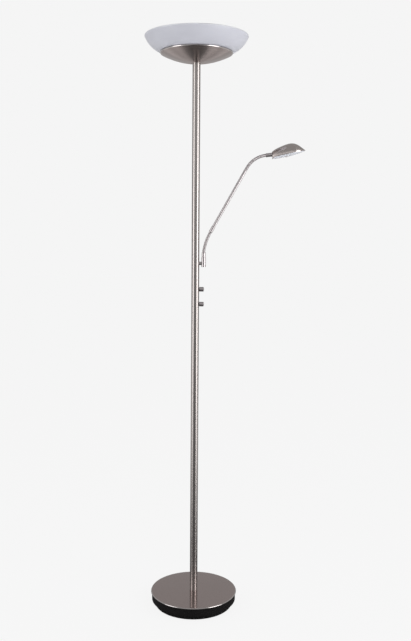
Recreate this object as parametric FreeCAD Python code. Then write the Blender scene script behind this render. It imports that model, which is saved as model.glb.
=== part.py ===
import FreeCAD, Part
import math
import os

os.makedirs("parts", exist_ok=True)
V = FreeCAD.Vector

# Torchiere floor lamp with a reading light. Millimetres. The origin is the centre of the footprint on
# the floor, +Z is up, and the reading arm leans towards +X.

# ---- clearances ----
FIT = 0.05          # radial clearance of a threaded, pressed or turning round fit
GAP = 0.3           # air between pieces that move past each other, or that only lie side by side
SEAT = 0.15         # play under a loosely seated piece

# ---- base ----
BASE_R = 139.0      # outer radius of the steel cover
BASE_H = 44.0       # floor to the top of the cover
COVER_T = 1.2       # cover sheet
COVER_LIP = 2.9     # height of the cover's turned-down edge
COVER_EDGE_R = 1.0  # rounding of the cover's edge
SIDE_GAP = 1.8      # black side inside the cover's turned-down edge
STEP_H = 16.0       # underside of the black side
STEP_INSET = 11.0   # narrower foot below the side
TRAY_T = 3.0        # wall and floor of the moulded tray
TRAY_LIFT = 1.5     # tray underside above the floor
FOOT_IN_R = 100.0   # ring pad under the tray
FOOT_OUT_R = 116.0
FOOT_T = 3.0        # pad thickness, partly let into the tray
POCKET_R = 20.0     # central pocket under the tray, for the nut
POCKET_H = 24.0     # height of the pocket's ceiling above the floor
LEAD_SLOT_W = 9.0   # slot for the lead in the pocket wall and the weight
LEAD_SLOT_H = 12.5  # top of that slot above the floor
WEIGHT_BORE_R = 6.0

# ---- threaded lamp tube (hollow stud and nipple) ----
THREAD_R = 5.0
THREAD_BORE_R = 3.25
NUT_ACROSS = 14.0
NUT_T = 5.0
WASHER_R = 11.0
WASHER_T = 1.2
STUD_SPARE = 1.5    # thread that shows past a nut
STUD_GRIP = 20.0    # thread held in the pole's plug
PLUG_L = 25.0       # plug in each end of the pole

# ---- pole ----
POLE_R = 12.3
POLE_T = 1.2
POLE_SECTIONS = 3
COUPLER_L = 44.0
COUPLER_BORE_R = 8.6

# ---- supply lead inside the stand ----
LEAD_R = 2.3
LEAD_OFFSET = 5.5   # the lead lies behind the dimmers, off the pole's axis
LEAD_RISE = 0.5     # lead above the tray's floor
LEAD_INLET_L = 11.0 # level run behind the inlet
LEAD_DROP_L = 14.0  # run over which it drops to the floor
LEAD_AXIS_L = 10.0  # straight run on the pole's axis past each plug
LEAD_SPARE = 1.0    # lead's end below the top of the nut on the dish
LEAD_TURN_R = 9.0   # bend from the base into the stud
LEAD_SHIFT_L = 60.0 # height over which it moves off the axis
LEAD_EASE_R = 120.0 # easy bends at both ends of that shift

# ---- cord inlet at the back of the base ----
BUSH_R = 5.5
BUSH_INSIDE = 2.0   # how far it reaches inside the tray's wall
BUSH_FLANGE_R = 7.5
BUSH_FLANGE_T = 2.0
BUSH_BORE_R = 3.2
BUSH_Z = 27.0

# ---- dimmers ----
DIMMER_DROPS = {"uplight": 133.2, "reading": 180.2}  # below the pole's upper seam
DIMMER_DEPTH = 11.0  # body inside the pole, along X
DIMMER_W = 13.0
DIMMER_H = 32.0
BUSHING_R = 4.0      # threaded bushing through the pole wall
BUSHING_OUT = 3.6    # how far it stands out of the pole
DIMMER_NUT_ACROSS = 10.0
DIMMER_NUT_T = 2.2
SHAFT_R = 3.0
SHAFT_FLAT = 1.0     # depth of the shaft's flat
KNOB_R = 7.25
KNOB_REACH = 15.6    # knob end beyond the pole's surface
KNOB_START = 0.7     # knob's back above the pole's surface
KNOB_WALL = 0.95
KNOB_FACE_T = 3.6    # solid end of the knob
KNOB_DOME = 1.6      # height of the domed end
KNOB_EDGE_R = 1.0

# ---- dish under the glass ----
HEIGHT = 1804.0      # floor to the rim of the glass
DISH_RIM_R = 111.8
DISH_RIM_DROP = 49.4 # end of the dish's bend, which stands upright, below the glass rim
DISH_DEPTH = 30.3    # end of the bend above the dish's foot
DISH_FOOT_R = 13.0
DISH_BEND_R = 3.5    # bend at the rim
DISH_SLOPE = 27.0    # slope of the dish in degrees where the bend starts
DISH_T = 1.0

# ---- glass bowl ----
BOWL_R = 158.8
BOWL_T = 3.5
BOWL_LOW_R = 103.9   # a lower point in the middle of the glass ...
BOWL_LOW_DROP = 47.3 # ... and how far it lies below the rim
BOWL_SAG = 8.1       # bulge of the glass between that point and the rim
BOWL_HOLE_R = 82.0

# ---- lamp pan and its fittings ----
PAN_T = 1.0
PAN_FLOOR_RISE = 15.7  # pan floor above the dish's foot
PAN_CORNER = 0.5       # pan floor beyond the lamp bracket's corners
PAN_FLANGE_R = 80.0    # start of the flange under the glass
GASKET_T = 1.4
GASKET_STOCK = 5.6     # height of the gasket's outer edge, before the glass's form is taken from it
GASKET_IN_R = 84.0
GASKET_OUT_R = 92.0
PILLAR_R = 4.0
PILLAR_Y = 44.0
SCREW_R = 1.9
SCREW_HEAD_R = 3.6
SCREW_HEAD_T = 2.2
SCREW_L = 7.0
STRIP_T = 1.2          # lamp bracket
STRIP_W = 24.0
LAMP_L = 118.0         # double-ended halogen lamp, over its ends
LAMP_R = 5.5
LAMP_CAP_R = 3.75
LAMP_CAP_L = 14.0
PINCH_L = 5.0          # flat seal between the glass and each cap
PINCH_W = 7.0
PINCH_T = 3.0
LAMP_RISE = 12.0       # lamp axis above the bracket
HOLDER_W = 18.0
HOLDER_L = 14.0
HOLDER_TOP = 7.5       # holder above the lamp axis
HOLDER_GRIP = 5.5      # lamp end inside the holder
HOLDER_WIRE = 2.0      # wire behind the middle of the holder
GUARD_W = 62.0
GUARD_T = 3.0
CLIP_T = 1.0
CLIP_W = 12.0
CLIP_HOOK = 3.0
TROUGH_R = 40.0        # reflector trough under the lamp
TROUGH_W = 56.0
TROUGH_END = 4.5       # trough's end in front of the holder
TROUGH_T = 0.5
WIRE_R = 1.1
WIRE_TURN_R = 2.5
WIRE_RISE = 13.0       # flat run of the wires above the dish's foot
WIRE_SPLIT = 1.5       # half distance of the two wires where they leave the lead

# ---- reading arm ----
ARM_DROP = 51.7        # swivel axis below the pole's upper seam
SOCKET_X = 25.9        # axis of the upright socket
SOCKET_R = 7.0
SOCKET_BELOW = 11.1    # socket below the swivel axis
SOCKET_ABOVE = 18.5    # socket above the swivel axis
STUB_R = 5.25
SHANK_R = 4.0          # threaded shank in the pole wall
SPIGOT_R = 3.5
SPIGOT_END = 4.0       # spigot's end past the socket's axis
GROOVE_D = 0.6
GROOVE_W = 2.6
GRUB_R = 1.25
WIRE_BORE_R = 1.8
SOCKET_EDGE_R = 0.6
SOCKET_LEAD_R = 2.4    # lead bore in the socket and its ferrule
SOCKET_LEAD_X = 0.6    # that bore's place in the socket, past its axis
GRUB_DEPTH = 0.5       # screw's end above the socket's underside
COLLAR_DEPTH = 2.0     # stub's collar before the pole's round form is taken from it
STUB_NUT_ACROSS = 10.0
STUB_NUT_T = 3.2
STUB_FLANGE_R = 5.6
STUB_FLANGE_T = 1.4
FERRULE_R = 6.25
FERRULE_L = 16.0
FERRULE_SPIGOT_R = 4.5
FERRULE_SPIGOT_L = 8.0
FERRULE_EDGE_R = 0.8

NECK_VALLEY = 0.45     # depth of the flexible neck's ribs
NECK_BORE_R = 2.9
NECK_PITCH = 2.0
NECK_STRAIGHT = 10.0   # straight end held in a ferrule
LOWER_NECK_R = 4.65
UPPER_NECK_R = 4.8
LOWER_BENDS = ((6.61, 9.74), (59.71, 19.52))  # length and turn of each bend, from the socket up
UPPER_BENDS = ((72.6, 54.0),)
ARM_STRAIGHT = 228.5   # straight stretch between the two bends
TUBE_R = 4.85
TUBE_T = 1.0
TUBE_FERRULE_R = 5.9
TUBE_FERRULE_L = 20.0
TUBE_FERRULE_START = 0.5
JOINT_L = 12.0
NECK_FERRULE_R = 6.0
NECK_FERRULE_L = 19.5
NIPPLE_R = 4.0
NIPPLE_L = 5.8

# ---- reading head ----
HEAD_TILT = 5.36       # head's rim plane, up from the neck's direction
HEAD_BACK = 10.4       # neck end behind the head's first full section
NECK_OVER_RIM = 9.2    # neck axis above the rim plane
HEAD_L = 93.0          # head's tip from its first full section
HEAD_T = 1.2
# distance along the head, half width and height above the rim plane
HEAD_SECTIONS = (
    (-16.0, 12.5, 13.5),
    (0.0, 20.0, 22.2),
    (20.0, 27.5, 27.6),
    (42.0, 32.5, 31.0),
    (60.0, 31.5, 29.3),
    (75.0, 24.5, 20.3),
    (86.0, 14.0, 8.6),
)
LENS_DEPTH = 4.6       # lens below the rim plane, where it is deepest
LENS_LOW_U = 24.0      # distance along the head of that deepest line
LENS_TIP_DEPTH = 0.3
BACK_LIP_T = 2.0       # rear wall's lip behind the lens
LINER_GAP = 0.3        # reflector inside the shell
LINER_T = 0.5
LINER_START = 16.0
LINER_RIM = 4.5
BRIDGE_U = 32.0
BRIDGE_W = 8.0
BRIDGE_V = 2.0
BRIDGE_T = 1.2
BRIDGE_STUD_R = 1.5
BRIDGE_STUD_SHORT = 0.5 # stud's end inside the nut
LENS_NUT_R = 4.0
LENS_NUT_T = 2.4
HEAD_NUT_ACROSS = 12.0
HEAD_NUT_T = 3.5
BRACKET_T = 1.0
BRACKET_W = 12.0
BRACKET_V = 1.2        # bracket's foot above the rim plane
BRACKET_BACK = 1.5     # foot's rear end in front of the neck's end
BRACKET_FRONT = 12.0
CAPSULE_V = 11.5       # capsule lamp's axis above the rim plane
CAPSULE_R = 6.5
CAPSULE_L = 34.0
CAPSULE_PIN_R = 0.6
CAPSULE_PIN_PITCH = 9.0
CAPSULE_PIN_L = 5.0    # pin inside the holder
CAPSULE_PIN_IN = 2.0   # pin inside the glass
CAP_HOLDER_W = 15.0
CAP_HOLDER_H = 15.0
CAP_HOLDER_START = -1.5
CAP_HOLDER_L = 15.0

# ---- places that follow ----
FAR = 200.0            # beyond every piece, for shapes that only cut
COVER_UNDER = BASE_H - COVER_T
TRAY_R = BASE_R - COVER_T - SIDE_GAP
FOOT_EDGE_R = TRAY_R - STEP_INSET
TRAY_FLOOR = TRAY_LIFT + TRAY_T
POCKET_TOP = POCKET_H + TRAY_T
POLE_BORE_R = POLE_R - POLE_T
DISH_RIM_Z = HEIGHT - DISH_RIM_DROP
DISH_Z = DISH_RIM_Z - DISH_DEPTH
PAN_Z = DISH_Z + PAN_FLOOR_RISE
SECTION_L = (DISH_Z - BASE_H) / POLE_SECTIONS
UPPER_SEAM = DISH_Z - SECTION_L
ARM_Z = UPPER_SEAM - ARM_DROP
STRIP_Z = PAN_Z + PAN_T
LAMP_Z = STRIP_Z + STRIP_T + LAMP_RISE
HOLDER_NEAR = LAMP_L / 2 - HOLDER_GRIP
HOLDER_FAR = HOLDER_NEAR + HOLDER_L
BRACKET_END = HOLDER_FAR + CLIP_T
PAN_FLOOR_R = math.hypot(BRACKET_END, STRIP_W / 2) + PAN_CORNER + PAN_T
SUPPLY_END = DISH_Z + WASHER_T + NUT_T - LEAD_SPARE
SOCKET_TOP = ARM_Z + SOCKET_ABOVE
FLEX_START = SOCKET_TOP + FERRULE_L
ORIGIN = V(0, 0, 0)


# ---- shapes used throughout ----
def save(name, shape):
    """Writes one node and reports its size, so that a failed solid shows at once."""
    if not shape.isValid():
        print("INVALID", name)
    print(f"{name}: {len(shape.Solids)} solid(s), {shape.Volume:.1f} mm3")
    shape.exportStep(f"parts/{name}.step")


def rod(radius, low, high, x=0.0, y=0.0):
    """Upright round bar between two heights."""
    return Part.makeCylinder(radius, high - low, V(x, y, low))


def ring(inner, outer, low, high, x=0.0, y=0.0):
    """Upright tube or washer between two heights."""
    return rod(outer, low, high, x, y).cut(rod(inner, low - 1, high + 1, x, y))


def bar(radius, start, end, y=0.0, z=0.0):
    """Round bar along X between two places."""
    return Part.makeCylinder(radius, end - start, V(start, y, z), V(1, 0, 0))


def block(x, y, z):
    """Box from three (low, high) pairs."""
    return Part.makeBox(x[1] - x[0], y[1] - y[0], z[1] - z[0], V(x[0], y[0], z[0]))


def hexagon(across, bore, low, high):
    """Upright hexagon nut with its corners along X."""
    corner = across / math.sqrt(3)
    corners = [V(corner * math.cos(a), corner * math.sin(a), low) for a in
               (math.radians(60 * k) for k in range(7))]
    nut = Part.Face(Part.makePolygon(corners)).extrude(V(0, 0, high - low))
    return nut.cut(rod(bore, low - 1, high + 1))


def rounded(shape, radius, z):
    """Rounds the flat edges that lie at one height of an upright shape."""
    flat = [edge for edge in shape.Edges
            if edge.BoundBox.ZLength < FIT and abs(edge.BoundBox.ZMin - z) < FIT]
    return shape.makeFillet(radius, flat)


def along_x(shape, x, z):
    """Turns an upright shape to lie along +X, with its origin moved to (x, 0, z)."""
    turned = shape.copy()
    turned.rotate(ORIGIN, V(0, 1, 0), 90)
    turned.translate(V(x, 0, z))
    return turned


def along_y(shape, y, z):
    """Turns an upright shape to lie along +Y, with its origin moved to (0, y, z)."""
    turned = shape.copy()
    turned.rotate(ORIGIN, V(1, 0, 0), -90)
    turned.translate(V(0, y, z))
    return turned


def spun(edges):
    """Solid of revolution about the Z axis from the closed outline of its half section."""
    return Part.Face(Part.Wire(edges)).revolve(ORIGIN, V(0, 0, 1), 360)


def line(a, b):
    return Part.LineSegment(V(a[0], 0, a[1]), V(b[0], 0, b[1])).toShape()


def arc(a, middle, b):
    points = [V(p[0], 0, p[1]) for p in (a, middle, b)]
    return Part.Arc(*points).toShape()


def outline(points):
    """Closed half section of straight sides."""
    return [line(a, b) for a, b in zip(points, points[1:] + points[:1])]


class Bulge:
    """Arc of a half section from a low point to a high point, bulging outwards and down by sag."""

    def __init__(self, low, high, sag):
        self.low, self.high = low, high
        chord = math.dist(low, high)
        self.radius = (chord * chord / 4 + sag * sag) / (2 * sag)
        across = (high[0] - low[0]) / chord
        up = (high[1] - low[1]) / chord
        reach = self.radius - sag
        self.x = (low[0] + high[0]) / 2 - up * reach
        self.z = (low[1] + high[1]) / 2 + across * reach

    def height(self, r, inset=0.0):
        """Height of the arc, drawn in by inset, at distance r from the lamp's axis."""
        return self.z - math.sqrt((self.radius - inset) ** 2 - (r - self.x) ** 2)

    def reach(self, z, inset=0.0):
        """Distance from the lamp's axis of the arc, drawn in by inset, at height z."""
        return self.x + math.sqrt((self.radius - inset) ** 2 - (z - self.z) ** 2)

    def point(self, r, inset=0.0):
        return (r, self.height(r, inset))

    def inward(self, point, inset):
        """The point moved towards the arc's centre."""
        share = inset / self.radius
        return (point[0] + (self.x - point[0]) * share, point[1] + (self.z - point[1]) * share)


def tube_on(points, radii, radius):
    """Solid round tube on straight runs joined by tangent arcs of the given radii."""
    edges = []
    start = points[0]
    for before, corner, after, turn in zip(points, points[1:], points[2:], radii):
        into = (corner - before).normalize()
        out = (after - corner).normalize()
        angle = into.getAngle(out)
        back = turn * math.tan(angle / 2)
        first = corner - into * back
        last = corner + out * back
        toward = (out - into).normalize()
        centre = corner + toward * (turn / math.cos(angle / 2))
        middle = centre - toward * turn
        edges.append(Part.LineSegment(start, first).toShape())
        edges.append(Part.Arc(first, middle, last).toShape())
        start = last
    edges.append(Part.LineSegment(start, points[-1]).toShape())
    path = Part.Wire(edges)
    section = Part.Wire(Part.makeCircle(radius, points[0], points[1] - points[0]))
    return path.makePipeShell([section], True, False)


# ---- base ----
def base():
    edge = COVER_EDGE_R
    corner = edge * (1 - math.sqrt(0.5))
    lip_z = BASE_H - COVER_LIP
    hole = THREAD_R + GAP
    inner = BASE_R - COVER_T
    cover = [
        line((hole, COVER_UNDER), (hole, BASE_H)),
        line((hole, BASE_H), (BASE_R - edge, BASE_H)),
        arc((BASE_R - edge, BASE_H), (BASE_R - corner, BASE_H - corner), (BASE_R, BASE_H - edge)),
        line((BASE_R, BASE_H - edge), (BASE_R, lip_z)),
        line((BASE_R, lip_z), (inner, lip_z)),
        line((inner, lip_z), (inner, COVER_UNDER)),
        line((inner, COVER_UNDER), (hole, COVER_UNDER)),
    ]
    save("base_cover", spun(cover))

    # the tray has a wide side over a narrower foot, and its wall goes up to the cover
    wall_r = TRAY_R - TRAY_T
    foot_r = FOOT_EDGE_R - TRAY_T
    step_top = STEP_H + TRAY_T
    tray = spun(outline([
        (hole, POCKET_H), (POCKET_R, POCKET_H), (POCKET_R, TRAY_LIFT), (FOOT_EDGE_R, TRAY_LIFT),
        (FOOT_EDGE_R, STEP_H), (TRAY_R, STEP_H), (TRAY_R, COVER_UNDER), (wall_r, COVER_UNDER),
        (wall_r, step_top), (foot_r, step_top), (foot_r, TRAY_FLOOR),
        (POCKET_R + TRAY_T, TRAY_FLOOR), (POCKET_R + TRAY_T, POCKET_TOP), (hole, POCKET_TOP),
    ]))
    tray = tray.cut(ring(FOOT_IN_R - SEAT, FOOT_OUT_R + SEAT, 0, FOOT_T))
    half = LEAD_SLOT_W / 2
    slot = block((-half, half), (0, POCKET_R + TRAY_T + GAP), (TRAY_LIFT, LEAD_SLOT_H))
    inlet = along_y(rod(BUSH_R + FIT, -TRAY_T, TRAY_T * 2), wall_r, BUSH_Z)
    save("base_tray", tray.cut(slot.cut(rod(THREAD_R, 0, POCKET_H))).cut(inlet))
    save("base_feet", ring(FOOT_IN_R, FOOT_OUT_R, 0, FOOT_T))

    weight_r = wall_r - GAP
    pocket_r = POCKET_R + TRAY_T + GAP
    weight = spun(outline([
        (WEIGHT_BORE_R, POCKET_TOP + GAP), (pocket_r, POCKET_TOP + GAP),
        (pocket_r, TRAY_FLOOR), (foot_r - GAP, TRAY_FLOOR), (foot_r - GAP, step_top + GAP),
        (weight_r, step_top + GAP), (weight_r, COVER_UNDER), (WEIGHT_BORE_R, COVER_UNDER),
    ]))
    # a radial slot in the weight's underside leads the supply from the inlet to the pocket, and rises
    # at the wall to the inlet's height
    channel = block((-half, half), (POCKET_R, TRAY_R), (TRAY_LIFT, LEAD_SLOT_H))
    wide = BUSH_R + 1
    riser_y = wall_r - BUSH_INSIDE - LEAD_INLET_L - LEAD_DROP_L
    riser = block((-wide, wide), (riser_y, TRAY_R), (TRAY_LIFT, BUSH_Z + wide))
    save("base_weight", weight.cut(channel).cut(riser))

    # the flange's back follows the tray's round side
    neck = along_y(rod(BUSH_R, -BUSH_INSIDE, TRAY_T + BUSH_FLANGE_T), wall_r, BUSH_Z)
    flange = along_y(rod(BUSH_FLANGE_R, -BUSH_FLANGE_T, BUSH_FLANGE_T), TRAY_R, BUSH_Z)
    flange = flange.cut(rod(TRAY_R + SEAT, 0, BASE_H))
    bore = along_y(rod(BUSH_BORE_R, -FAR, FAR), TRAY_R, BUSH_Z)
    save("cord_bush", flange.fuse(neck).removeSplitter().cut(bore))

    nut_top = POCKET_H - WASHER_T
    save("base_stud", ring(THREAD_BORE_R, THREAD_R, nut_top - NUT_T - STUD_SPARE, BASE_H + STUD_GRIP))
    save("base_washer", ring(THREAD_R + FIT, WASHER_R, nut_top, POCKET_H))
    save("base_nut", hexagon(NUT_ACROSS, THREAD_R + FIT, nut_top - NUT_T, nut_top))


# ---- pole ----
def pole():
    seams = [BASE_H + k * SECTION_L for k in range(POLE_SECTIONS + 1)]
    side_holes = bar(SHANK_R + FIT, 0, FAR, z=ARM_Z)
    for drop in DIMMER_DROPS.values():
        side_holes = side_holes.fuse(bar(BUSHING_R + FIT, 0, FAR, z=UPPER_SEAM - drop))
    for name, low, high in zip(("pole_lower", "pole_middle", "pole_upper"), seams, seams[1:]):
        save(name, ring(POLE_BORE_R, POLE_R, low, high).cut(side_holes))
    half = COUPLER_L / 2
    save("pole_couplers", Part.makeCompound([
        ring(COUPLER_BORE_R, POLE_BORE_R - FIT, seam - half, seam + half) for seam in seams[1:-1]
    ]))
    plug_r = POLE_BORE_R - FIT
    save("pole_foot_plug", ring(THREAD_R + FIT, plug_r, BASE_H, BASE_H + PLUG_L))
    save("pole_top_plug", ring(THREAD_R + FIT, plug_r, DISH_Z - PLUG_L, DISH_Z))


def supply_lead():
    """The lead lies in the base's slot, rises through the stud, passes behind the dimmers and ends in
    the nipple under the lamp pan."""
    floor_z = TRAY_FLOOR + LEAD_R + LEAD_RISE
    inside_y = TRAY_R - TRAY_T - BUSH_INSIDE
    level_y = inside_y - LEAD_INLET_L
    low = BASE_H + PLUG_L + LEAD_AXIS_L
    high = DISH_Z - PLUG_L - LEAD_AXIS_L
    side = -LEAD_OFFSET
    points = [
        V(0, inside_y - GAP, BUSH_Z), V(0, level_y, BUSH_Z), V(0, level_y - LEAD_DROP_L, floor_z),
        V(0, 0, floor_z), V(0, 0, low), V(side, 0, low + LEAD_SHIFT_L),
        V(side, 0, high - LEAD_SHIFT_L), V(0, 0, high), V(0, 0, SUPPLY_END),
    ]
    turns = [LEAD_TURN_R, LEAD_TURN_R, LEAD_TURN_R] + [LEAD_EASE_R] * 4
    save("supply_lead", tube_on(points, turns, LEAD_R))


# ---- dimmers ----
def dimmer(name, height):
    front = math.sqrt(POLE_BORE_R ** 2 - (DIMMER_W / 2) ** 2) - GAP
    half = DIMMER_W / 2
    tall = DIMMER_H / 2
    bushing_end = POLE_R + BUSHING_OUT
    body = block((front - DIMMER_DEPTH, front), (-half, half), (height - tall, height + tall))
    body = body.fuse(bar(BUSHING_R, front, bushing_end, z=height))
    save(f"{name}_dimmer", body.cut(bar(SHAFT_R + FIT, front, bushing_end + 1, z=height)))

    knob_end = POLE_R + KNOB_REACH
    shaft_end = knob_end - KNOB_FACE_T
    recess_end = bushing_end + GAP
    shaft = bar(SHAFT_R, front + GAP, shaft_end, z=height)
    flat = SHAFT_R - SHAFT_FLAT
    cutter = block((recess_end, shaft_end + 1), (-SHAFT_R, SHAFT_R), (height + flat, height + SHAFT_R + 1))
    save(f"{name}_shaft", shaft.cut(cutter))

    back = KNOB_START
    end = KNOB_REACH
    shoulder = end - KNOB_DOME
    corner = KNOB_EDGE_R * (1 - math.sqrt(0.5))
    edge_r = KNOB_R - KNOB_EDGE_R
    dome_r = (edge_r ** 2 + KNOB_DOME ** 2) / (2 * KNOB_DOME)
    half_angle = math.asin(edge_r / dome_r) / 2
    middle = (dome_r * math.sin(half_angle), end - dome_r * (1 - math.cos(half_angle)))
    solid = spun([
        line((0, back), (KNOB_R, back)),
        line((KNOB_R, back), (KNOB_R, shoulder - KNOB_EDGE_R)),
        arc((KNOB_R, shoulder - KNOB_EDGE_R), (KNOB_R - corner, shoulder - corner), (edge_r, shoulder)),
        arc((edge_r, shoulder), middle, (0, end)),
        line((0, end), (0, back)),
    ])
    solid = along_x(solid, POLE_R, height)
    recess = bar(KNOB_R - KNOB_WALL, POLE_R, recess_end, z=height)
    bore = bar(SHAFT_R + FIT, POLE_R, shaft_end + SEAT, z=height)
    key = block((recess_end, knob_end), (-KNOB_R, KNOB_R), (height + flat + FIT, height + KNOB_R))
    save(f"{name}_knob", solid.cut(recess).cut(bore.cut(key)))


def dimmers():
    nuts = []
    start = POLE_R + FIT
    for name, drop in DIMMER_DROPS.items():
        height = UPPER_SEAM - drop
        dimmer(name, height)
        nuts.append(along_x(hexagon(DIMMER_NUT_ACROSS, BUSHING_R + FIT, 0, DIMMER_NUT_T), start, height))
    save("dimmer_nuts", Part.makeCompound(nuts))


# ---- dish, pan and glass ----
def sag_to_slope(low, high, slope):
    """Sag of the arc from low to high that reaches high at the given slope in degrees."""
    across = high[0] - low[0]
    up = high[1] - low[1]
    chord = across ** 2 + up ** 2
    angle = math.radians(slope)
    radius = chord / (2 * (across * math.sin(angle) - up * math.cos(angle)))
    return radius - math.sqrt(radius ** 2 - chord / 4)


def dish_bend(radius, slope):
    """Point at a radius about the centre of the dish's bend, where the slope is given in degrees."""
    angle = math.radians(slope)
    return (DISH_RIM_R - DISH_BEND_R + radius * math.sin(angle), DISH_RIM_Z - radius * math.cos(angle))


DISH_LOW = (DISH_FOOT_R, DISH_Z)
DISH_HIGH = dish_bend(DISH_BEND_R, DISH_SLOPE)
DISH = Bulge(DISH_LOW, DISH_HIGH, sag_to_slope(DISH_LOW, DISH_HIGH, DISH_SLOPE))
BOWL = Bulge((BOWL_LOW_R, HEIGHT - BOWL_LOW_DROP), (BOWL_R - BOWL_T / 2, HEIGHT - BOWL_T / 2), BOWL_SAG)


def shell_edges(bulge, low_r, outside, inside):
    """Outer and inner arcs of a curved wall, drawn in by two insets, and the round edge at its rim."""
    middle_r = (low_r + bulge.high[0]) / 2
    outer_high = bulge.inward(bulge.high, outside)
    inner_high = bulge.inward(bulge.high, inside)
    edge = bulge.inward(bulge.high, (outside + inside) / 2)
    share = (inside - outside) / 2 / bulge.radius
    crown = (edge[0] + (bulge.z - bulge.high[1]) * share, edge[1] + (bulge.high[0] - bulge.x) * share)
    outer = arc(bulge.point(low_r, outside), bulge.point(middle_r, outside), outer_high)
    over = arc(outer_high, crown, inner_high)
    inner = arc(inner_high, bulge.point(middle_r, inside), bulge.point(low_r, inside))
    return outer, over, inner


def dish_side(inset):
    """Arc and bend of the dish's section, drawn in by inset, and their two ends."""
    low = DISH.point(DISH_FOOT_R, inset)
    middle = DISH.point((DISH_FOOT_R + DISH_HIGH[0]) / 2, inset)
    radius = DISH_BEND_R - inset
    start = dish_bend(radius, DISH_SLOPE)
    turn = dish_bend(radius, (DISH_SLOPE + 90) / 2)
    end = dish_bend(radius, 90)
    return [arc(low, middle, start), arc(start, turn, end)], low, end


def dish_reach(z):
    """Radius of the dish's inner face at height z."""
    radius = DISH_BEND_R - DISH_T
    below = max(DISH_RIM_Z - z, 0)
    if below > radius * math.cos(math.radians(DISH_SLOPE)):
        return DISH.reach(z, DISH_T)
    return DISH_RIM_R - DISH_BEND_R + math.sqrt(radius ** 2 - below ** 2)


def dish():
    outer, low, outer_edge = dish_side(0)
    inner, inner_low, inner_edge = dish_side(DISH_T)
    hole = THREAD_R + GAP
    floor_z = inner_low[1]
    half = DISH_T / 2
    crown = (DISH_RIM_R - half, DISH_RIM_Z + half)
    save("dish", spun([
        line((hole, DISH_Z), low), *outer, arc(outer_edge, crown, inner_edge), *inner[::-1],
        line(inner_low, (hole, floor_z)), line((hole, floor_z), (hole, DISH_Z)),
    ]))
    nut_z = floor_z + WASHER_T
    top = nut_z + NUT_T
    save("dish_washer", ring(THREAD_R + FIT, WASHER_R, floor_z, nut_z))
    save("dish_nut", hexagon(NUT_ACROSS, THREAD_R + FIT, nut_z, top))
    save("dish_nipple", ring(THREAD_BORE_R, THREAD_R, DISH_Z - STUD_GRIP, top + STUD_SPARE))
    return floor_z


def lamp_pan(floor_z):
    # the flange lies under the glass, and its edge rests on the dish's inner face
    gasket_z = BOWL.height(BOWL.x, -BOWL_T / 2) - GASKET_T
    flange_z = gasket_z - PAN_T
    edge_r = dish_reach(flange_z) - SEAT
    pan = spun(outline([
        (0, PAN_Z), (PAN_FLOOR_R, PAN_Z), (PAN_FLANGE_R, flange_z), (edge_r, flange_z),
        (edge_r, gasket_z), (PAN_FLANGE_R - PAN_T, gasket_z), (PAN_FLOOR_R - PAN_T, STRIP_Z),
        (0, STRIP_Z),
    ]))
    wire_x = HOLDER_NEAR + HOLDER_L / 2 + HOLDER_WIRE
    holes = [rod(WIRE_R + GAP, PAN_Z - 1, STRIP_Z + STRIP_T + 1, x) for x in (-wire_x, wire_x)]
    screw_holes = [rod(SCREW_R + FIT, PAN_Z - 1, STRIP_Z + 1, 0, y) for y in (-PILLAR_Y, PILLAR_Y)]
    save("lamp_pan", pan.cut(holes + screw_holes))

    # the gasket's top follows the glass
    gasket = ring(GASKET_IN_R, GASKET_OUT_R, gasket_z, gasket_z + GASKET_STOCK)
    glass = Part.makeTorus(BOWL.x, BOWL.radius + BOWL_T / 2 + FIT, V(0, 0, BOWL.z))
    save("glass_gasket", gasket.cut(glass).removeSplitter())

    pillars = []
    screws = []
    inner_foot = DISH.point(DISH_FOOT_R, DISH_T)
    inner_middle = DISH.point(DISH_RIM_R / 2, DISH_T)
    inner_edge = DISH.point(PAN_FLANGE_R, DISH_T)
    inside = spun([
        line((0, floor_z), inner_foot), arc(inner_foot, inner_middle, inner_edge),
        line(inner_edge, (PAN_FLANGE_R, HEIGHT)), line((PAN_FLANGE_R, HEIGHT), (0, HEIGHT)),
        line((0, HEIGHT), (0, floor_z)),
    ])
    for y in (-PILLAR_Y, PILLAR_Y):
        pillar = rod(PILLAR_R, DISH_Z, PAN_Z, 0, y).common(inside)
        pillars.append(pillar.cut(rod(SCREW_R + FIT, PAN_Z - SCREW_L + PAN_T - GAP, PAN_Z, 0, y)))
        shank = rod(SCREW_R, STRIP_Z - SCREW_L, STRIP_Z, 0, y)
        screws.append(shank.fuse(rod(SCREW_HEAD_R, STRIP_Z, STRIP_Z + SCREW_HEAD_T, 0, y)))
    save("pan_pillars", Part.makeCompound(pillars))
    save("pan_screws", Part.makeCompound(screws))
    return wire_x


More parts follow.
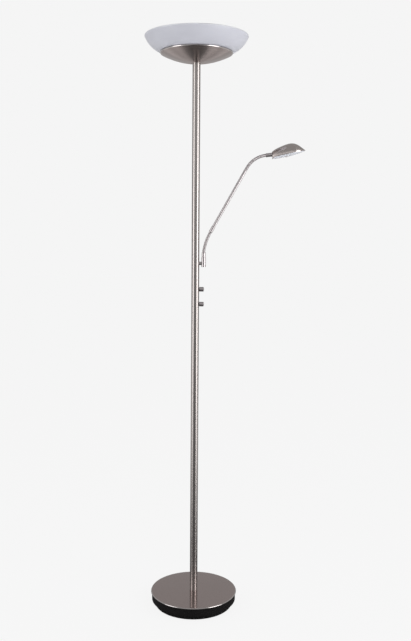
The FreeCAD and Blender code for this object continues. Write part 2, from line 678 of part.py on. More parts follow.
def uplight_lamp(wire_x):
    top_z = LAMP_Z + HOLDER_TOP
    strip_top = STRIP_Z + STRIP_T
    strip = block((-BRACKET_END, BRACKET_END), (-STRIP_W / 2, STRIP_W / 2), (STRIP_Z, strip_top))
    wire_holes = [rod(WIRE_R + GAP, STRIP_Z - 1, strip_top + 1, x) for x in (-wire_x, wire_x)]
    save("lamp_bracket", strip.cut(wire_holes))

    holders = []
    clips = []
    caps = []
    leads = []
    hook_z = top_z + GUARD_T
    wire_z = DISH_Z + WIRE_RISE
    wide = CLIP_W / 2
    for side in (-1, 1):
        holder = block((HOLDER_NEAR, HOLDER_FAR), (-HOLDER_W / 2, HOLDER_W / 2), (strip_top, top_z))
        holder = holder.cut(bar(LAMP_CAP_R + GAP, 0, LAMP_L / 2 + SEAT, z=LAMP_Z))
        clip = block((HOLDER_FAR, BRACKET_END), (-wide, wide), (strip_top, hook_z + CLIP_T))
        hook = block((BRACKET_END - CLIP_HOOK, BRACKET_END), (-wide, wide), (hook_z, hook_z + CLIP_T))
        clip = clip.fuse(hook).removeSplitter()
        cap = bar(LAMP_CAP_R, LAMP_L / 2 - LAMP_CAP_L, LAMP_L / 2, z=LAMP_Z)
        route = [V(WIRE_SPLIT, 0, SUPPLY_END + GAP), V(WIRE_SPLIT, 0, wire_z), V(wire_x, 0, wire_z),
                 V(wire_x, 0, strip_top)]
        lead = tube_on(route, [WIRE_TURN_R, WIRE_TURN_R], WIRE_R)
        for shape, group in ((holder, holders), (clip, clips), (cap, caps), (lead, leads)):
            group.append(shape if side > 0 else shape.mirror(ORIGIN, V(1, 0, 0)))
    save("lamp_holders", Part.makeCompound(holders))
    save("guard_clips", Part.makeCompound(clips))
    save("halogen_caps", Part.makeCompound(caps))
    save("lamp_wires", Part.makeCompound(leads))

    pinch = LAMP_L / 2 - LAMP_CAP_L
    straight = pinch - PINCH_L - LAMP_R
    tube = bar(LAMP_R, -straight, straight, z=LAMP_Z)
    for x in (-straight, straight):
        tube = tube.fuse(Part.makeSphere(LAMP_R, V(x, 0, LAMP_Z)))
    seal = block((-pinch, pinch), (-PINCH_W / 2, PINCH_W / 2),
                 (LAMP_Z - PINCH_T / 2, LAMP_Z + PINCH_T / 2))
    save("halogen_lamp", tube.fuse(seal).removeSplitter())

    guard = HOLDER_FAR - GAP
    save("guard_glass", block((-guard, guard), (-GUARD_W / 2, GUARD_W / 2), (top_z, top_z + GUARD_T)))

    low = strip_top + SEAT
    half = HOLDER_NEAR - TROUGH_END
    centre_z = low + TROUGH_R
    trough = bar(TROUGH_R, -half, half, z=centre_z)
    trough = trough.cut(bar(TROUGH_R - TROUGH_T, -half, half, z=centre_z))
    keep = block((-half, half), (-TROUGH_W / 2, TROUGH_W / 2), (STRIP_Z, centre_z))
    save("lamp_reflector", trough.common(keep))


def glass_bowl():
    half = BOWL_T / 2
    outer, over, inner = shell_edges(BOWL, BOWL_HOLE_R, -half, half)
    hole_edge = (BOWL_HOLE_R - half, BOWL.height(BOWL_HOLE_R))
    around_hole = arc(BOWL.point(BOWL_HOLE_R, half), hole_edge, BOWL.point(BOWL_HOLE_R, -half))
    save("glass_bowl", spun([outer, over, inner, around_hole]))


# ---- reading arm ----
LOWER_NECK_L = sum(length for length, _ in LOWER_BENDS) + 2 * NECK_STRAIGHT
UPPER_NECK_L = sum(length for length, _ in UPPER_BENDS) + 2 * NECK_STRAIGHT
ARM_ROUTE = (
    (NECK_STRAIGHT, 0.0), *LOWER_BENDS, (ARM_STRAIGHT, 0.0), *UPPER_BENDS, (NECK_FERRULE_L, 0.0),
)
ROUTE_START = (SOCKET_X, FLEX_START - NECK_STRAIGHT)


def arm_at(distance):
    """Point (x, z) and heading in degrees above +X at a distance along the arm's centre line."""
    x, z = ROUTE_START
    heading = 90.0
    for length, turn in ARM_ROUTE:
        step = min(distance, length)
        after = heading - turn * step / length
        a, b = math.radians(heading), math.radians(after)
        if turn:
            radius = length / math.radians(turn)
            x += radius * (math.sin(a) - math.sin(b))
            z += radius * (math.cos(b) - math.cos(a))
        else:
            x += step * math.cos(a)
            z += step * math.sin(a)
        heading = after
        distance -= step
        if distance <= 0:
            break
    return (x, z), heading


def placement(point, heading):
    """Local Z runs along the heading, local X is the lamp's +Y, and local Y points up from the arm."""
    angle = math.radians(heading)
    c, s = math.cos(angle), math.sin(angle)
    return FreeCAD.Placement(FreeCAD.Matrix(0, -s, c, point[0], 1, 0, 0, 0, 0, c, s, point[1], 0, 0, 0, 1))


def placed(shape, place):
    moved = shape.copy()
    moved.Placement = place.multiply(moved.Placement)
    return moved


def on_arm(shape, distance):
    """Places an upright shape on the arm's centre line at the given distance."""
    point, heading = arm_at(distance)
    return placed(shape, placement(point, heading))


def circle_at(distance, radius):
    return on_arm(Part.Wire(Part.makeCircle(radius)), distance)


def flexible_neck(start, length, radius):
    """Ribbed hose with its bore. Each rib is four circles: valley, crest, crest, valley."""
    ribs = round(length / NECK_PITCH)
    pitch = length / ribs
    valley = radius - NECK_VALLEY
    circles = []
    bores = []
    for k in range(ribs):
        at = start + k * pitch
        for share, r in ((0.0, valley), (0.25, radius), (0.7, radius), (0.95, valley)):
            circles.append(circle_at(at + share * pitch, r))
        bores.append(circle_at(at, NECK_BORE_R))
    circles.append(circle_at(start + length, valley))
    bores.append(circle_at(start + length, NECK_BORE_R))
    outer = Part.makeLoft(circles, True, True)
    return outer.cut(Part.makeLoft(bores, True, True))


def swivel():
    """Stub screwed through the pole, and the socket that turns on its spigot."""
    face = SOCKET_X - SOCKET_R
    shoulder = face - GAP
    spigot_end = SOCKET_X + SPIGOT_END
    nut_face = math.sqrt(POLE_BORE_R ** 2 - STUB_FLANGE_R ** 2) - FIT
    nut_end = nut_face - STUB_FLANGE_T - STUB_NUT_T
    collar = bar(STUB_R, POLE_R - COLLAR_DEPTH, shoulder, z=ARM_Z).cut(rod(POLE_R + FIT, 0, HEIGHT))
    stub = collar.fuse(bar(SHANK_R, nut_end - 1, POLE_R + 1, z=ARM_Z))
    stub = stub.fuse(bar(SPIGOT_R, shoulder, spigot_end, z=ARM_Z))
    half = GROOVE_W / 2
    groove = bar(SPIGOT_R + 1, SOCKET_X - half, SOCKET_X + half, z=ARM_Z)
    groove = groove.cut(bar(SPIGOT_R - GROOVE_D, SOCKET_X - half, SOCKET_X + half, z=ARM_Z))
    save("arm_stub", stub.cut(groove).cut(bar(WIRE_BORE_R, nut_end - 2, spigot_end + 1, z=ARM_Z)))
    nut = hexagon(STUB_NUT_ACROSS, SHANK_R + FIT, 0, STUB_NUT_T)
    flange = ring(SHANK_R + FIT, STUB_FLANGE_R, STUB_NUT_T, STUB_NUT_T + STUB_FLANGE_T)
    save("stub_nut", along_x(nut.fuse(flange), nut_end, ARM_Z))

    low = ARM_Z - SOCKET_BELOW
    socket = rod(SOCKET_R, low, SOCKET_TOP, SOCKET_X)
    socket = rounded(socket, SOCKET_EDGE_R, low)
    spigot_bore = bar(SPIGOT_R + FIT, face - 1, spigot_end + GAP, z=ARM_Z)
    lead_bore = rod(SOCKET_LEAD_R, ARM_Z, SOCKET_TOP + 1, SOCKET_X + SOCKET_LEAD_X)
    seat = rod(FERRULE_SPIGOT_R + FIT, SOCKET_TOP - FERRULE_SPIGOT_L - GAP, SOCKET_TOP + 1, SOCKET_X)
    grub_hole = rod(GRUB_R + FIT, low - 1, ARM_Z, SOCKET_X)
    save("arm_socket", socket.cut([spigot_bore, lead_bore, seat, grub_hole]))
    save("socket_screw", rod(GRUB_R, low + GRUB_DEPTH, ARM_Z - SPIGOT_R + GROOVE_D - SEAT, SOCKET_X))


def lower_ferrule():
    body = rounded(rod(FERRULE_R, SOCKET_TOP, FLEX_START, SOCKET_X), FERRULE_EDGE_R, FLEX_START)
    body = body.fuse(rod(FERRULE_SPIGOT_R, SOCKET_TOP - FERRULE_SPIGOT_L, SOCKET_TOP, SOCKET_X))
    neck_z = FLEX_START - NECK_STRAIGHT - SEAT
    body = body.cut(rod(LOWER_NECK_R + FIT, neck_z, FLEX_START + 1, SOCKET_X))
    save("lower_ferrule", body.cut(rod(SOCKET_LEAD_R, ARM_Z, FLEX_START, SOCKET_X)))


def arm():
    tube_zero = LOWER_NECK_L          # the lower neck's upper end
    tube_start = tube_zero + GAP
    tube_end = LOWER_NECK_L - NECK_STRAIGHT + ARM_STRAIGHT - NECK_STRAIGHT
    save("lower_gooseneck", flexible_neck(0.0, LOWER_NECK_L, LOWER_NECK_R))
    save("upper_gooseneck", flexible_neck(tube_end, UPPER_NECK_L, UPPER_NECK_R))

    ferrule_at = tube_zero - NECK_STRAIGHT + TUBE_FERRULE_START
    ferrule = rounded(rod(TUBE_FERRULE_R, 0, TUBE_FERRULE_L), FERRULE_EDGE_R, 0)
    ferrule = rounded(ferrule, FERRULE_EDGE_R, TUBE_FERRULE_L)
    neck_depth = NECK_STRAIGHT - TUBE_FERRULE_START
    ferrule = ferrule.cut(rod(LOWER_NECK_R + FIT, -1, neck_depth + FIT))
    ferrule = ferrule.cut(rod(TUBE_R + FIT, neck_depth + FIT, TUBE_FERRULE_L + 1))
    save("tube_ferrule", on_arm(ferrule, ferrule_at))
    length = tube_end - tube_start
    tube = ring(TUBE_R - TUBE_T, TUBE_R, 0, length)
    save("arm_tube", on_arm(tube, tube_start))
    # internal sleeve that joins the tube's end and the upper neck's bore
    sleeve = rod(TUBE_R - TUBE_T - FIT, -JOINT_L, 0)
    sleeve = sleeve.fuse(rod(NECK_BORE_R - FIT, 0, NECK_STRAIGHT - 1))
    sleeve = sleeve.cut(rod(WIRE_BORE_R, -JOINT_L - 1, NECK_STRAIGHT))
    save("tube_joint", on_arm(sleeve, tube_end))

    neck_end = tube_end + UPPER_NECK_L
    neck_ferrule_at = neck_end - NECK_STRAIGHT
    body = rounded(rod(NECK_FERRULE_R, 0, NECK_FERRULE_L), FERRULE_EDGE_R, 0)
    body = body.fuse(rod(NIPPLE_R, NECK_FERRULE_L, NECK_FERRULE_L + HEAD_T + NIPPLE_L))
    body = body.cut(rod(UPPER_NECK_R + FIT, -1, NECK_STRAIGHT + FIT))
    body = body.cut(rod(WIRE_BORE_R, 0, 2 * NECK_FERRULE_L))
    save("neck_ferrule", on_arm(body, neck_ferrule_at))
    return neck_ferrule_at + NECK_FERRULE_L


# ---- reading head ----
def dome(inset):
    """Smooth body over the head's sections, drawn in by inset."""
    wires = [half_section(along, wide - inset, tall - inset) for along, wide, tall in HEAD_SECTIONS]
    return Part.makeLoft(wires + [Part.Vertex(0, 0, HEAD_L - inset)], True, False)


def lens_side(inset):
    """Body below the rim plane: the head's plan, with an underside that rises towards the tip."""
    base = min(dome(inset).Faces, key=lambda face: face.BoundBox.YLength)
    rise = LENS_DEPTH - LENS_TIP_DEPTH
    run = HEAD_L - LENS_LOW_U
    radius = (run * run + rise * rise) / (2 * rise)
    centre = V(-FAR, radius - LENS_DEPTH, LENS_LOW_U)
    prism = base.extrude(V(0, -FAR, 0))
    return prism.common(Part.makeCylinder(radius, 2 * FAR, centre, V(1, 0, 0)))


def half_section(along, wide, tall):
    """Half ellipse over a straight base, in the plane at a distance along the head."""
    matrix = FreeCAD.Matrix()
    matrix.scale(V(wide, tall, 1))
    half = Part.ArcOfCircle(Part.Circle(ORIGIN, V(0, 0, 1), 1), 0, math.pi).toShape()
    curve = half.transformGeometry(matrix)
    curve.translate(V(0, 0, along))
    base = Part.LineSegment(V(-wide, 0, along), V(wide, 0, along)).toShape()
    return Part.Wire([curve, base])


def reading_head(neck_at):
    point, heading = arm_at(neck_at)
    neck = placement(point, heading)
    tilted = math.radians(heading + HEAD_TILT)
    c, s = math.cos(tilted), math.sin(tilted)
    first = (point[0] + HEAD_BACK * c + NECK_OVER_RIM * s, point[1] + HEAD_BACK * s - NECK_OVER_RIM * c)
    head = placement(first, heading + HEAD_TILT)
    to_neck = head.inverse().multiply(neck)

    def beyond(depth):
        """Everything in front of a plane square to the neck, at a depth inside the rear wall."""
        return placed(block((-FAR, FAR), (-FAR, FAR), (depth, FAR)), to_neck)

    def keep(name, shape):
        save(name, placed(shape, head))

    shell = dome(0).common(beyond(0)).cut(dome(HEAD_T).common(beyond(HEAD_T)))
    lip = lens_side(0).common(beyond(0)).cut(beyond(BACK_LIP_T))
    nipple_hole = placed(rod(NIPPLE_R + FIT, -FAR, NIPPLE_L), to_neck)
    keep("head_shell", shell.fuse(lip).cut(nipple_hole).removeSplitter())

    nut_at = HEAD_T + BRACKET_T
    keep("neck_nut", placed(hexagon(HEAD_NUT_ACROSS, NIPPLE_R + FIT, nut_at, nut_at + HEAD_NUT_T), to_neck))
    half = BRACKET_W / 2
    low = BRACKET_V - NECK_OVER_RIM
    plate = placed(block((-half, half), (low, half), (HEAD_T, nut_at)), to_neck)
    foot = block((-half, half), (BRACKET_V, BRACKET_V + BRACKET_T), (BRACKET_BACK - HEAD_BACK, BRACKET_FRONT))
    keep("holder_bracket", plate.fuse(foot.common(beyond(HEAD_T))).cut(nipple_hole))

    holder_low = BRACKET_V + BRACKET_T
    holder_end = CAP_HOLDER_START + CAP_HOLDER_L
    half = CAP_HOLDER_W / 2
    holder = block((-half, half), (holder_low, holder_low + CAP_HOLDER_H), (CAP_HOLDER_START, holder_end))
    pin_start = holder_end - CAPSULE_PIN_L
    start = holder_end + SEAT
    round_end = start + CAPSULE_L - CAPSULE_R
    pins = []
    for x in (-CAPSULE_PIN_PITCH / 2, CAPSULE_PIN_PITCH / 2):
        pins.append(rod(CAPSULE_PIN_R, pin_start, start + CAPSULE_PIN_IN, x, CAPSULE_V))
        holder = holder.cut(rod(CAPSULE_PIN_R + FIT, pin_start, FAR, x, CAPSULE_V))
    keep("capsule_holder", holder)
    glass = rod(CAPSULE_R, start, round_end, 0, CAPSULE_V)
    glass = glass.fuse(Part.makeSphere(CAPSULE_R, V(0, CAPSULE_V, round_end)))
    keep("capsule_lamp", glass.fuse(pins).removeSplitter())

    liner_out = HEAD_T + LINER_GAP
    front = block((-FAR, FAR), (LINER_RIM, FAR), (LINER_START, FAR))
    keep("head_reflector", dome(liner_out).cut(dome(liner_out + LINER_T)).common(front))

    lens_inset = HEAD_T + GAP
    lens = lens_side(lens_inset).common(beyond(BACK_LIP_T + GAP))
    stud_hole = rod(BRIDGE_STUD_R + FIT, -FAR, FAR)
    keep("head_lens", lens.cut(along_y(stud_hole, 0, BRIDGE_U)))

    half = BRIDGE_W / 2
    strip = block((-FAR, FAR), (BRIDGE_V, BRIDGE_V + BRIDGE_T), (BRIDGE_U - half, BRIDGE_U + half))
    strip = strip.common(dome(HEAD_T + GAP))
    nut_low = -LENS_DEPTH - LENS_NUT_T
    stud = along_y(rod(BRIDGE_STUD_R, nut_low + BRIDGE_STUD_SHORT, BRIDGE_V), 0, BRIDGE_U)
    keep("lens_bridge", strip.fuse(stud))
    nut = rounded(rod(LENS_NUT_R, nut_low, -LENS_DEPTH), FERRULE_EDGE_R, nut_low)
    keep("lens_nut", along_y(nut.cut(stud_hole), 0, BRIDGE_U))


base()
pole()
supply_lead()
dimmers()
WIRE_X = lamp_pan(dish())
uplight_lamp(WIRE_X)
glass_bowl()
swivel()
lower_ferrule()
NECK_AT = arm()
reading_head(NECK_AT)
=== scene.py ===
import math

import bpy
from mathutils import Matrix, Vector

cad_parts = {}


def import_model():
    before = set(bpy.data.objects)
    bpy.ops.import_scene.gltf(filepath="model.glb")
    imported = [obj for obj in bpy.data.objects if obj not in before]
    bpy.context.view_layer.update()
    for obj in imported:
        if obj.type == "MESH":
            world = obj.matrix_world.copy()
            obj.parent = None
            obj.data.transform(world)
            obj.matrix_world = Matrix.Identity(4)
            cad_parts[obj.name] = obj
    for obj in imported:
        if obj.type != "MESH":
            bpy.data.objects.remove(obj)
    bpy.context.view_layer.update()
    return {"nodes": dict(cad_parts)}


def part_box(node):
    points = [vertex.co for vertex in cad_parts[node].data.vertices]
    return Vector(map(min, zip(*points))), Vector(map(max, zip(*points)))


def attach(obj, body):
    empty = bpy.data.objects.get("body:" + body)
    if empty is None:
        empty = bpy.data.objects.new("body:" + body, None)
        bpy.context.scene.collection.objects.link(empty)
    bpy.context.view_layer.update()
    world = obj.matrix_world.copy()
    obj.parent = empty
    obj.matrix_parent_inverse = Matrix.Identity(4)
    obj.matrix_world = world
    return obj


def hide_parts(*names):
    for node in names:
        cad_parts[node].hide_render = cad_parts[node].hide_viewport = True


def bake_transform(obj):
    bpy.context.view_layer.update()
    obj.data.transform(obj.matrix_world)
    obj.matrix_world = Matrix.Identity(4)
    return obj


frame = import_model()
scene = bpy.context.scene
scene.view_settings.view_transform = "Standard"

# ---- the photograph's view: metres and radians, but for the pixels and the sensor ----
IMAGE_H = 641           # pixels
FOCAL_PX = 805.0        # focal length in pixels
CAMERA_AT = Vector((0.0487, -2.5342, 1.2078))
CAMERA_YAW = 0.0062
CAMERA_PITCH = 0.1084
CAMERA_ROLL = 0.0071
SENSOR = 36.0           # height of the sensor in millimetres

# ---- light: brightness as a linear value, where 1 is white ----
PALE = 0.913            # the background
AMBIENT = 0.58          # light from all round, on matt surfaces
FLOOR_SHOWN = 0.94      # share of the floor that shows as the plain background
FLOOR_GLOW = 0.937      # brightness of that share, which makes up for the rest
FLOOR_HALF = 20.0       # half the side of the floor, in metres
AIM_SHARE = 0.9         # a softbox points at this share of its own height on the pole

# ---- colours, linear ----
NICKEL_COVER = (0.340, 0.280, 0.268)
NICKEL_TUBE = (0.46, 0.425, 0.41)
NICKEL_HEAD = (0.58, 0.52, 0.50)
NICKEL_SMALL = (0.56, 0.52, 0.525)
NICKEL_DISH = (0.475, 0.405, 0.387)
# lighter than the nickel round it: a painted glint on the polished lips of the cover and the dish
NICKEL_LIP_PAINTED_GLINT = (0.58, 0.54, 0.53)
ZINC = (0.50, 0.52, 0.55)
ALUMINIUM = (0.83, 0.84, 0.85)
BLACK = (0.006, 0.005, 0.005)
RUBBER = (0.012, 0.012, 0.012)
SILICONE = (0.75, 0.75, 0.74)
ENAMEL = (0.80, 0.80, 0.79)
CERAMIC = (0.80, 0.77, 0.70)
CEMENT = (0.36, 0.35, 0.33)
OPAL = (0.60, 0.605, 0.665)
# lighter than the opal: a painted sheen along the glass's polished rim
OPAL_RIM_PAINTED_SHEEN = (0.70, 0.71, 0.76)
LENS_WHITE = (0.72, 0.74, 0.80)
CLEAR = (0.95, 0.97, 0.97)

# ---- polished edges, painted lighter as a highlight, in metres ----
LIP_WIDTH = 0.0010      # width over which a surface turns from satin to polished and painted lighter
LIP_ROUGHNESS = 0.12
COVER_LIP_R = 0.1375    # radius beyond which the base cover is fully polished and painted with the lighter glint colour
DISH_LIP_R = 0.1108     # radius beyond which the dish is fully polished and painted with the lighter glint colour
GLASS_RIM = 0.0028      # height of the glass's fully polished edge, which is also painted lighter as a sheen

# ---- brushed metal ----
MARKS_ROUND = 1.3       # noise cells per radian round the axis, so that each mark is long
QUARTER_TURN = 0.25     # turns the highlight's long side from along the marks to across them

# places of the sockets A, B and result in a Mix node
MIX_SOCKETS = {"RGBA": (6, 7, 2), "FLOAT": (2, 3, 0)}


# ---- node materials ----
class Nodes:
    """Adds nodes to one node tree and joins them."""

    def __init__(self, tree):
        self.tree = tree

    def node(self, kind, **settings):
        made = self.tree.nodes.new(kind)
        for key, value in settings.items():
            setattr(made, key, value)
        return made

    def link(self, output, target):
        self.tree.links.new(output, target)

    def feed(self, targets, values):
        """Sets each socket to its number, or joins it to another node's output."""
        for target, value in zip(targets, values):
            if isinstance(value, (int, float)):
                target.default_value = value
            else:
                self.link(value, target)

    def math(self, operation, *values):
        made = self.node("ShaderNodeMath", operation=operation)
        self.feed(made.inputs, values)
        return made.outputs[0]

    def combine(self, *values):
        made = self.node("ShaderNodeCombineXYZ")
        self.feed(made.inputs, values)
        return made.outputs[0]

    def place(self):
        """Object coordinates, which are the lamp's own metres."""
        return self.node("ShaderNodeTexCoord").outputs["Object"]

    def axes(self):
        """X, Y and Z of the object coordinates."""
        split = self.node("ShaderNodeSeparateXYZ")
        self.link(self.place(), split.inputs[0])
        return split.outputs

    def spread(self, value, low, high, start=0.0, end=1.0, clamp=True):
        """Low where the value is at its start, high where it is at its end."""
        made = self.node("ShaderNodeMapRange", clamp=clamp)
        for name, number in (("From Min", start), ("From Max", end), ("To Min", low), ("To Max", high)):
            made.inputs[name].default_value = number
        self.link(value, made.inputs["Value"])
        return made.outputs["Result"]

    def noise(self, vector, scale, detail=3.0, roughness=0.5, distortion=0.0):
        made = self.node("ShaderNodeTexNoise")
        made.inputs["Scale"].default_value = scale
        made.inputs["Detail"].default_value = detail
        made.inputs["Roughness"].default_value = roughness
        made.inputs["Distortion"].default_value = distortion
        self.link(vector, made.inputs["Vector"])
        return made.outputs["Fac"]

    def merge(self, first, share, second):
        """The first pattern by its share, and the second by the rest."""
        return self.math("ADD", self.math("MULTIPLY", first, share),
                         self.math("MULTIPLY", second, 1.0 - share))

    def shows_background(self):
        """1 for rays that should see the plain background: camera, glossy and transmission rays."""
        path = self.node("ShaderNodeLightPath")
        total = path.outputs["Is Camera Ray"]
        for name in ("Is Glossy Ray", "Is Transmission Ray"):
            total = self.math("MAXIMUM", total, path.outputs[name])
        return total

    def surface(self, output):
        """Makes a shader the one that the material shows."""
        self.link(output, self.tree.nodes["Material Output"].inputs["Surface"])


def new_material(name):
    made = bpy.data.materials.new(name)
    made.use_nodes = True
    return made


class Paint(Nodes):
    """Builds one material round its Principled shader, step by step."""

    def __init__(self, name, colour, roughness, metallic=0.0):
        self.material = new_material(name)
        super().__init__(self.material.node_tree)
        self.shader = self.tree.nodes["Principled BSDF"]
        self.colour = colour
        self.set("Base Color", (*colour, 1.0))
        self.set("Roughness", roughness)
        self.set("Metallic", metallic)

    def set(self, socket, value):
        self.shader.inputs[socket].default_value = value

    def tint(self, value, low, high):
        """Base colour between two shades of the paint's own colour."""
        first, second, result = MIX_SOCKETS["RGBA"]
        made = self.node("ShaderNodeMix", data_type="RGBA")
        self.link(value, made.inputs["Factor"])
        for slot, share in ((first, low), (second, high)):
            made.inputs[slot].default_value = (*(c * share for c in self.colour), 1.0)
        self.link(made.outputs[result], self.shader.inputs["Base Color"])

    def rough(self, value, low, high):
        self.link(self.spread(value, low, high), self.shader.inputs["Roughness"])

    def polish_and_paint_highlight(self, mask, colour, roughness):
        """Mixes in another colour and roughness where the mask is 1: a lower, polished roughness, and a
        lighter colour that is a painted highlight.
        """
        polished = (("Base Color", "RGBA", (*colour, 1.0)), ("Roughness", "FLOAT", roughness))
        for socket, kind, value in polished:
            first, second, result = MIX_SOCKETS[kind]
            target = self.shader.inputs[socket]
            made = self.node("ShaderNodeMix", data_type=kind)
            self.link(mask, made.inputs["Factor"])
            self.link(target.links[0].from_socket, made.inputs[first])
            made.inputs[second].default_value = value
            self.link(made.outputs[result], target)

    def brush(self, amount):
        """Fine marks in circles round the upright axis, which draw highlights out across them."""
        self.set("Anisotropic", amount)
        self.set("Anisotropic Rotation", QUARTER_TURN)
        tangent = self.node("ShaderNodeTangent", direction_type="RADIAL", axis="Z")
        self.link(tangent.outputs[0], self.shader.inputs["Tangent"])

    def bump(self, value, strength, depth):
        made = self.node("ShaderNodeBump")
        made.inputs["Strength"].default_value = strength
        made.inputs["Distance"].default_value = depth
        self.link(value, made.inputs["Height"])
        self.link(made.outputs["Normal"], self.shader.inputs["Normal"])


def turned_metal(name, colour, roughness, aniso, marks, lip=None):
    """Satin metal with fine marks in circles round the lamp's axis. Lip is the radius of a polished edge,
    whose lighter colour is a painted glint.
    """
    paint = Paint(name, colour, roughness, metallic=1.0)
    x, y, z = paint.axes()
    turn = paint.math("ARCTAN2", y, x)
    if lip:
        squares = paint.math("ADD", paint.math("POWER", x, 2.0), paint.math("POWER", y, 2.0))
        across = paint.math("SQRT", squares)
    else:
        across = z
    marks_at = paint.combine(
        paint.math("MULTIPLY", across, marks),
        paint.math("MULTIPLY", turn, MARKS_ROUND),
        0.0,
    )
    fine = paint.noise(marks_at, scale=1.0, detail=4.0, roughness=0.6)
    broad = paint.noise(paint.place(), scale=9.0)
    smudge = paint.noise(paint.place(), scale=42.0, detail=4.0, roughness=0.6, distortion=0.6)
    paint.tint(paint.merge(fine, 0.7, broad), 0.94, 1.06)
    paint.rough(paint.merge(fine, 0.5, smudge), roughness * 0.90, roughness * 1.12)
    if lip:
        edge = paint.spread(across, 0.0, 1.0, start=lip - LIP_WIDTH, end=lip)
        # painted glint: the lip's lighter colour stands in for the softboxes' reflection, while its lower
        # roughness is real polish
        paint.polish_and_paint_highlight(edge, NICKEL_LIP_PAINTED_GLINT, LIP_ROUGHNESS)
    paint.brush(aniso)
    return paint.material


def satin_metal(name, colour, roughness, grain, bump, aniso=None):
    """Satin metal with an even fine grain."""
    paint = Paint(name, colour, roughness, metallic=1.0)
    fine = paint.noise(paint.place(), scale=grain, detail=4.0, roughness=0.6)
    broad = paint.noise(paint.place(), scale=30.0, detail=4.0, roughness=0.55, distortion=0.4)
    mixed = paint.merge(fine, 0.5, broad)
    paint.tint(mixed, 0.86, 1.12)
    paint.rough(mixed, roughness * 0.75, roughness * 1.3)
    paint.bump(fine, strength=bump, depth=0.00004)
    if aniso:
        paint.brush(aniso)
    return paint.material


def moulded(name, colour, roughness, grain=1400.0, depth=0.00005, darkest=0.85):
    """Plastic, rubber, enamel or ceramic with a fine surface grain."""
    paint = Paint(name, colour, roughness)
    fine = paint.noise(paint.place(), scale=grain, roughness=0.6)
    broad = paint.noise(paint.place(), scale=22.0, detail=4.0, distortion=0.5)
    paint.tint(broad, darkest, 2.0 - darkest)
    paint.rough(paint.merge(fine, 0.4, broad), roughness * 0.8, min(1.0, roughness * 1.2))
    paint.bump(fine, strength=0.25, depth=depth)
    return paint.material


def cast(name, colour):
    """Rough cast cement with pores."""
    paint = Paint(name, colour, 0.9)
    grain = paint.noise(paint.place(), scale=260.0, detail=6.0, roughness=0.65)
    cells = paint.node("ShaderNodeTexVoronoi")
    cells.inputs["Scale"].default_value = 140.0
    paint.link(paint.place(), cells.inputs["Vector"])
    pores = paint.spread(cells.outputs["Distance"], 0.0, 1.0, start=0.05, end=0.25)
    mixed = paint.math("MULTIPLY", grain, pores)
    # the pores are painted darker where they are sunk: painted shade in them; the grain's tone varies at
    # random
    paint.tint(mixed, 0.7, 1.3)
    paint.rough(grain, 0.8, 1.0)
    paint.bump(mixed, strength=0.5, depth=0.0006)
    return paint.material


def opal(name, colour, roughness, rim=None):
    """Satin opal glass, white in its body and faintly cloudy. Rim is the height of a polished edge, whose
    lighter colour is a painted sheen.
    """
    paint = Paint(name, colour, roughness)
    cloud = paint.noise(paint.place(), scale=14.0, detail=4.0, distortion=0.4)
    fine = paint.noise(paint.place(), scale=2200.0, detail=2.0)
    paint.tint(cloud, 0.96, 1.04)
    paint.rough(cloud, roughness * 0.9, roughness * 1.1)
    if rim:
        edge = paint.spread(paint.axes()["Z"], 0.0, 1.0, start=rim - LIP_WIDTH, end=rim)
        # painted sheen: the rim's lighter colour stands in for its reflection, while its lower roughness is
        # real polish
        paint.polish_and_paint_highlight(edge, OPAL_RIM_PAINTED_SHEEN, LIP_ROUGHNESS)
    paint.bump(fine, strength=0.06, depth=0.00003)
    paint.set("Subsurface Weight", 0.25)
    paint.set("Subsurface Scale", 0.006)
    paint.set("Subsurface Radius", (1.0, 1.0, 1.0))
    paint.set("IOR", 1.5)
    return paint.material


def clear(name, colour, roughness):
    """Clear glass with a trace of dust in its roughness."""
    paint = Paint(name, colour, roughness)
    dust = paint.noise(paint.place(), scale=90.0, detail=5.0, roughness=0.6)
    paint.rough(dust, roughness * 0.3, roughness * 2.0)
    paint.set("Transmission Weight", 1.0)
    paint.set("IOR", 1.48)
    return paint.material


MATERIALS = {
    "cover": turned_metal("nickel_cover", NICKEL_COVER, roughness=0.16, aniso=0.7, marks=1500.0,
                          lip=COVER_LIP_R),
    "dish": turned_metal("nickel_dish", NICKEL_DISH, roughness=0.33, aniso=1.0, marks=1500.0,
                         lip=DISH_LIP_R),
    "tube": turned_metal("nickel_pole", NICKEL_TUBE, roughness=0.27, aniso=0.95, marks=2200.0),
    "small": satin_metal("nickel_small", NICKEL_SMALL, roughness=0.30, grain=900.0, bump=0.02),
    "head": satin_metal("nickel_head", NICKEL_HEAD, roughness=0.17, grain=1100.0, bump=0.01, aniso=0.85),
    "zinc": satin_metal("zinc_plate", ZINC, roughness=0.38, grain=600.0, bump=0.08),
    "aluminium": satin_metal("bright_aluminium", ALUMINIUM, roughness=0.14, grain=700.0, bump=0.04),
    "black": moulded("black_moulding", BLACK, roughness=0.36),
    "rubber": moulded("black_rubber", RUBBER, roughness=0.75),
    "silicone": moulded("silicone", SILICONE, roughness=0.5),
    "enamel": moulded("white_enamel", ENAMEL, roughness=0.22, grain=700.0, depth=0.00002, darkest=0.97),
    "ceramic": moulded("ceramic", CERAMIC, roughness=0.62, grain=900.0, depth=0.00008, darkest=0.93),
    "cement": cast("cement", CEMENT),
    "opal": opal("opal_glass", OPAL, roughness=0.34, rim=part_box("glass_bowl")[1][2] - GLASS_RIM),
    "lens": opal("frosted_lens", LENS_WHITE, roughness=0.4),
    "clear": clear("clear_glass", CLEAR, roughness=0.03),
}

